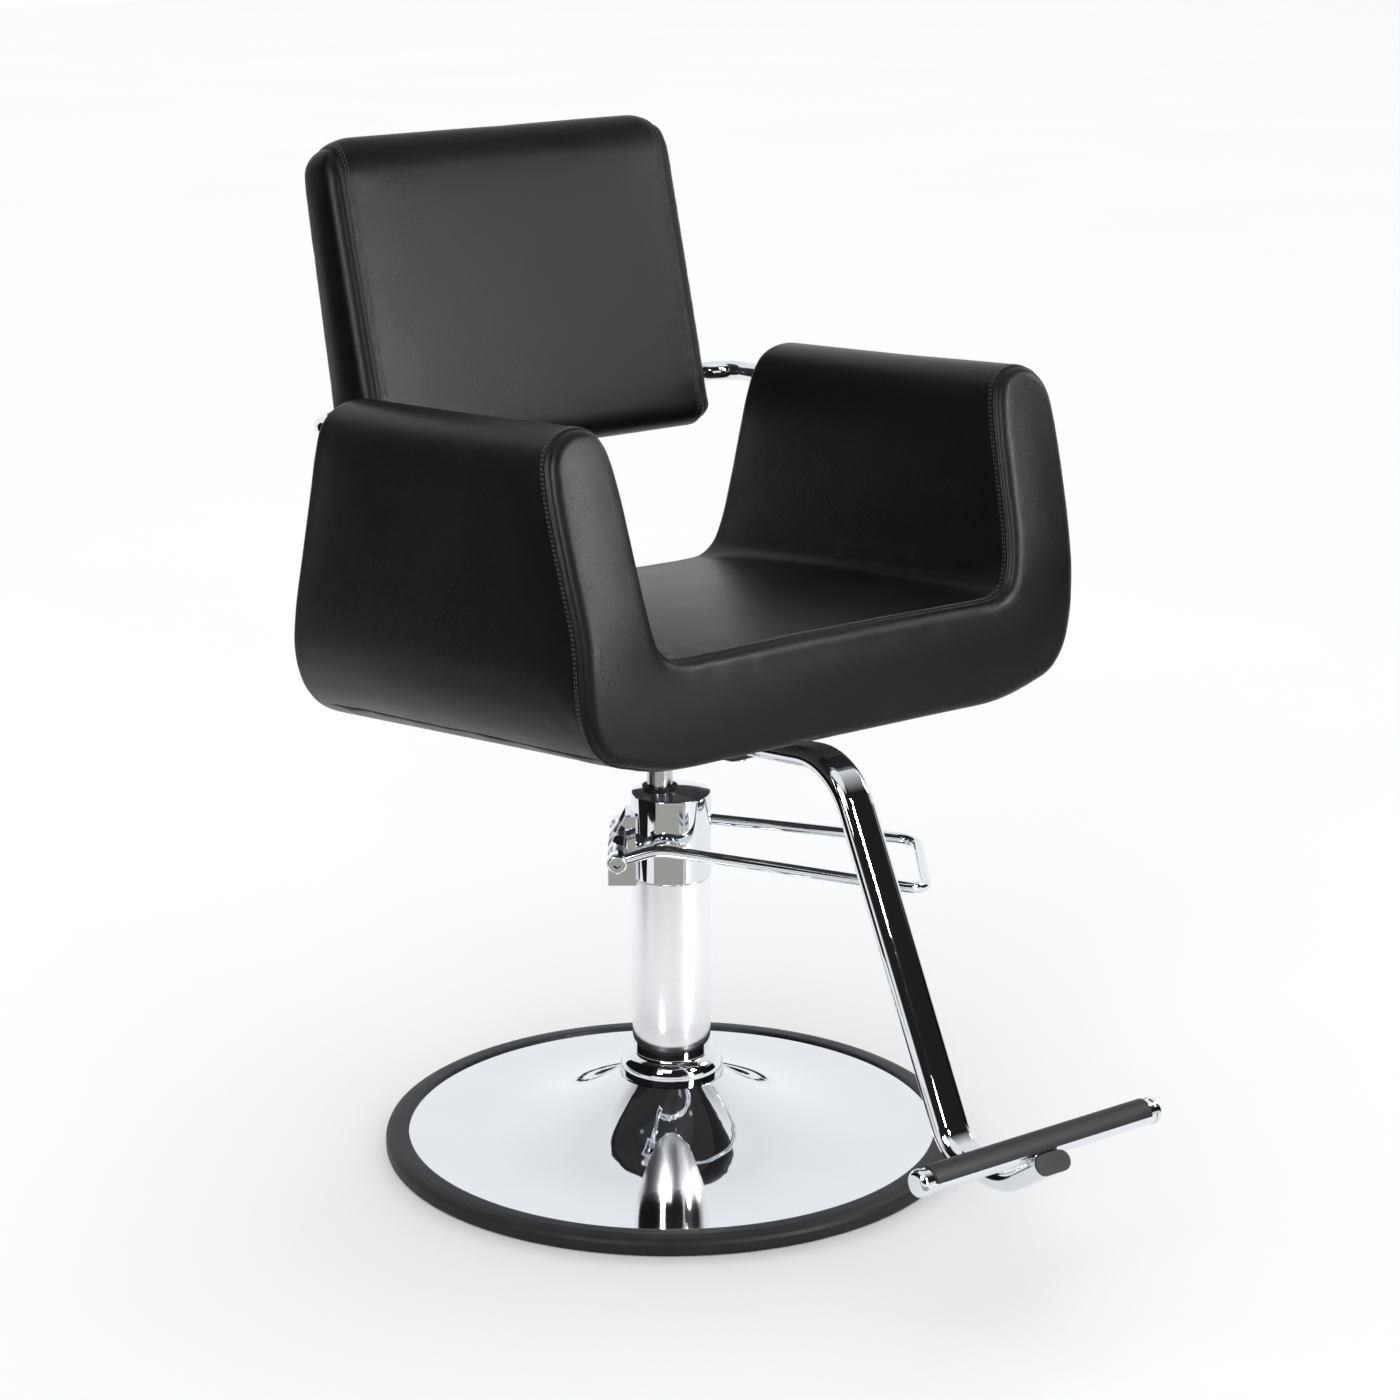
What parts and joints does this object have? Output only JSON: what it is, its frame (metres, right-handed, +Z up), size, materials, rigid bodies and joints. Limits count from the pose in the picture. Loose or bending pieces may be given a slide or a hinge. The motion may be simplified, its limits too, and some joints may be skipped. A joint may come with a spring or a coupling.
{
  "type": "styling chair",
  "caption": "Upholstered salon chair with padded arms and raked back on a hydraulic column, with a foot-pumped lever, round chrome base and T-bar footrest.",
  "frame": {"origin": "centre of the round base, on the floor", "axes": "+Z up along the pump column, +Y towards the chair's back, so the sitter faces -Y, and +X to the right of a viewer who faces the chair"},
  "size_m": [0.6089, 0.9343, 1.032],
  "materials": {
    "chrome": "mirror-polished chrome plate",
    "steel": "machined steel",
    "bronze": "machined bronze",
    "rubber": "dark grey satin rubber",
    "black_metal": "black powder coat",
    "black_plastic": "moulded black plastic",
    "vinyl": "fine-grained black upholstery vinyl, satin",
    "dust_cover": "black non-woven cloth",
    "plywood": "raw birch plywood",
    "foam": "cut polyurethane foam"
  },
  "bodies": {
    "base": {"base_disc": "chrome", "base_rubber_ring": "rubber", "base_stiffener": "black_metal", "base_bolts": "steel", "pump_foot": "steel", "trim_ring": "chrome", "column_tube": "chrome", "pump_liner": "steel", "check_valve_ball": "steel", "pump_collar": "chrome", "rod_guide_bush": "bronze", "wiper_seal": "rubber", "lever_bracket": "chrome", "pivot_bushes": "chrome", "lever_return_spring": "steel", "plunger_barrel": "steel"},
    "plunger": {"pump_plunger": "steel"},
    "lever": {"pump_lever": "chrome", "pivot_shaft": "steel", "pivot_screws": "chrome", "cam_finger": "steel"},
    "piston": {"piston_head": "steel", "piston_seal": "rubber", "thrust_washer": "bronze"},
    "seat": {"piston_rod": "chrome", "seat_hub": "black_metal", "seat_plate": "black_metal", "seat_plate_bolts": "steel", "footrest_socket": "black_metal", "footrest_socket_screws": "steel", "footrest_tube": "chrome", "footrest_end_plug": "black_plastic", "t_bar": "chrome", "t_bar_tread": "rubber", "t_bar_end_caps": "chrome", "bottom_cover": "dust_cover", "seat_board": "plywood", "seat_cushion": "vinyl", "arm_board_left": "plywood", "arm_board_right": "plywood", "arm_left": "vinyl", "arm_right": "vinyl", "arm_brackets": "steel", "arm_bracket_screws": "steel", "tube_sockets": "steel", "back_tube_left": "chrome", "back_tube_right": "chrome", "back_frame_plate": "steel", "back_board": "plywood", "back_frame_screws": "steel", "back_cushion": "vinyl", "seat_foam": "foam", "arm_foam_left": "foam", "arm_foam_right": "foam", "back_foam": "foam"}
  },
  "joints": [
    {"name": "lift", "type": "slide", "parent": "base", "child": "piston", "axis": [0, 0, 1], "range_m": [-0.045, 0.095]},
    {"name": "swivel", "type": "hinge", "parent": "piston", "child": "seat", "pos_m": [-0.0064, 0.0106, 0.193], "axis": [0, 0, 1], "continuous": true},
    {"name": "pump_lever", "type": "hinge", "parent": "base", "child": "lever", "pos_m": [-0.04323, 0.03236, 0.325], "axis": [0.5993, 0.8005, 0], "range_deg": [-10, 18], "stiffness_Nm_per_rad": 10, "springref_deg": -5.73},
    {"name": "plunger_slide", "type": "slide", "parent": "base", "child": "plunger", "axis": [0, 0, 1], "range_m": [-0.0068, 0.0038]}
  ],
  "couplings": [
    {"joint": "plunger_slide", "follows": "pump_lever", "m_per_rad": -0.02}
  ]
}
